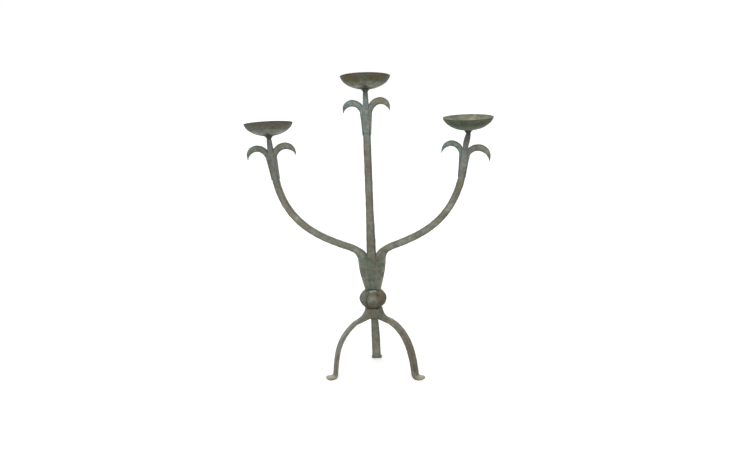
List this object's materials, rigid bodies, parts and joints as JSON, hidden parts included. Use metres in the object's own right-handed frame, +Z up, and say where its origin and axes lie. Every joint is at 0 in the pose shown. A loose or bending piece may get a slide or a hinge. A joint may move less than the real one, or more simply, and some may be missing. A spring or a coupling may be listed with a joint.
{
  "type": "candelabrum",
  "caption": "Hand-forged iron candelabrum on tripod legs: straight stem and sweeping side arms with drooping leaves, each ending in a round drip pan with a spike",
  "frame": {"origin": "on the floor under the centre of the bounding box; the stem stands 22 mm in front of it", "axes": "+Z up, the arms spread along X, the back leg points towards +Y and the front is -Y"},
  "size_m": [0.3981, 0.1354, 0.4842],
  "materials": {
    "bar_iron": "hammered mild steel bar, grey-green with brown rubbed stretches, dull wax sheen",
    "leaf_iron": "drawn-down bar, hammered, teal-green to olive, dark edges",
    "pan_iron": "raised sheet, brown-olive with rust and scale patches",
    "knop_iron": "hammered ball, grey-brown with rust patches",
    "leg_iron": "flat bar, grey-tan, worn pale on the feet"
  },
  "bodies": {
    "root": {"center_stem": "bar_iron", "left_arm": "bar_iron", "right_arm": "bar_iron", "knop": "knop_iron", "left_leg": "leg_iron", "right_leg": "leg_iron", "back_leg": "leg_iron", "stem_leaf_left": "leaf_iron", "stem_leaf_right": "leaf_iron", "left_leaf_outer": "leaf_iron", "left_leaf_inner": "leaf_iron", "right_leaf_inner": "leaf_iron", "right_leaf_outer": "leaf_iron", "center_boss": "pan_iron", "left_boss": "pan_iron", "right_boss": "pan_iron", "center_pan": "pan_iron", "left_pan": "pan_iron", "right_pan": "pan_iron", "center_pricket": "pan_iron", "left_pricket": "pan_iron", "right_pricket": "pan_iron"}
  },
  "joints": []
}
